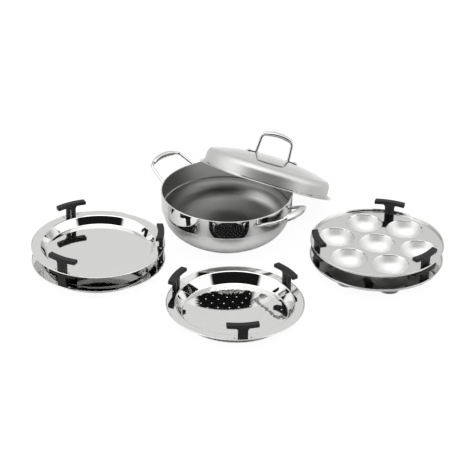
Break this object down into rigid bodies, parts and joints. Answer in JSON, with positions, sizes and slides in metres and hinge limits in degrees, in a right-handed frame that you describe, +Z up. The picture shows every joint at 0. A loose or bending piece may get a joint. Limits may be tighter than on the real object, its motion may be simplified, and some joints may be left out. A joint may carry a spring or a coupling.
{
  "type": "idli steamer set",
  "caption": "Steel steamer set for rice cakes: a wide pot with loop handles, its domed lid leaning on the rim, and stacking flat, perforated and hollowed plates with black T-handles.",
  "frame": {"origin": "middle of the pot's flat base, on the table that the whole set stands on", "axes": "+Z up, +X to the right from the flat plates to the plates with hollows, +Y away from the front plate"},
  "size_m": [0.793, 0.6569, 0.1573],
  "materials": {
    "vessel_steel": "mirror-polished band, flange and dome, satin bowl and inside",
    "plate_steel": "bright pressed sheet with polished walls",
    "handle_steel": "polished round rod and hollow grips",
    "fastener_steel": "bright rivets and strip",
    "phenolic": "semi-matt black heat-proof moulding"
  },
  "bodies": {
    "pot": {"pot_body": "vessel_steel", "pot_handle_rod_left": "handle_steel", "pot_handle_rod_right": "handle_steel", "pot_handle_grip_left": "handle_steel", "pot_handle_grip_right": "handle_steel", "pot_handle_pads_left": "handle_steel", "pot_handle_pads_right": "handle_steel"},
    "lid": {"lid_shell": "vessel_steel", "lid_handle_rod": "handle_steel", "lid_handle_grip": "handle_steel", "lid_handle_feet": "handle_steel", "lid_rivets": "handle_steel"},
    "flat_plate_lower": {"flat_plate_lower": "plate_steel", "flat_plate_lower_handle_1": "phenolic", "flat_plate_lower_handle_2": "phenolic", "flat_plate_lower_handle_3": "phenolic", "flat_plate_lower_brackets": "fastener_steel", "flat_plate_lower_rivets": "fastener_steel"},
    "flat_plate_upper": {"flat_plate_upper": "plate_steel", "flat_plate_upper_handle_1": "phenolic", "flat_plate_upper_handle_2": "phenolic", "flat_plate_upper_handle_3": "phenolic", "flat_plate_upper_brackets": "fastener_steel", "flat_plate_upper_rivets": "fastener_steel"},
    "steam_plate": {"steam_plate": "plate_steel", "steam_plate_handle_1": "phenolic", "steam_plate_handle_2": "phenolic", "steam_plate_handle_3": "phenolic", "steam_plate_brackets": "fastener_steel", "steam_plate_rivets": "fastener_steel"},
    "idli_plate_lower": {"idli_plate_lower": "plate_steel", "idli_plate_lower_handle_1": "phenolic", "idli_plate_lower_handle_2": "phenolic", "idli_plate_lower_handle_3": "phenolic", "idli_plate_lower_brackets": "fastener_steel", "idli_plate_lower_rivets": "fastener_steel"},
    "idli_plate_upper": {"idli_plate_upper": "plate_steel", "idli_plate_upper_handle_1": "phenolic", "idli_plate_upper_handle_2": "phenolic", "idli_plate_upper_handle_3": "phenolic", "idli_plate_upper_brackets": "fastener_steel", "idli_plate_upper_rivets": "fastener_steel"}
  },
  "joints": [
    {"name": "lid_lift", "type": "slide", "parent": "pot", "child": "lid", "axis": [0, 0, 1], "range_m": [0, 0.15]},
    {"name": "flat_plate_lower_lift", "type": "slide", "parent": "pot", "child": "flat_plate_lower", "axis": [0, 0, 1], "range_m": [0, 0.15]},
    {"name": "flat_plate_upper_lift", "type": "slide", "parent": "flat_plate_lower", "child": "flat_plate_upper", "axis": [0, 0, 1], "range_m": [0, 0.15]},
    {"name": "steam_plate_lift", "type": "slide", "parent": "pot", "child": "steam_plate", "axis": [0, 0, 1], "range_m": [0, 0.15]},
    {"name": "idli_plate_lower_lift", "type": "slide", "parent": "pot", "child": "idli_plate_lower", "axis": [0, 0, 1], "range_m": [0, 0.15]},
    {"name": "idli_plate_upper_lift", "type": "slide", "parent": "idli_plate_lower", "child": "idli_plate_upper", "axis": [0, 0, 1], "range_m": [0, 0.15]}
  ]
}
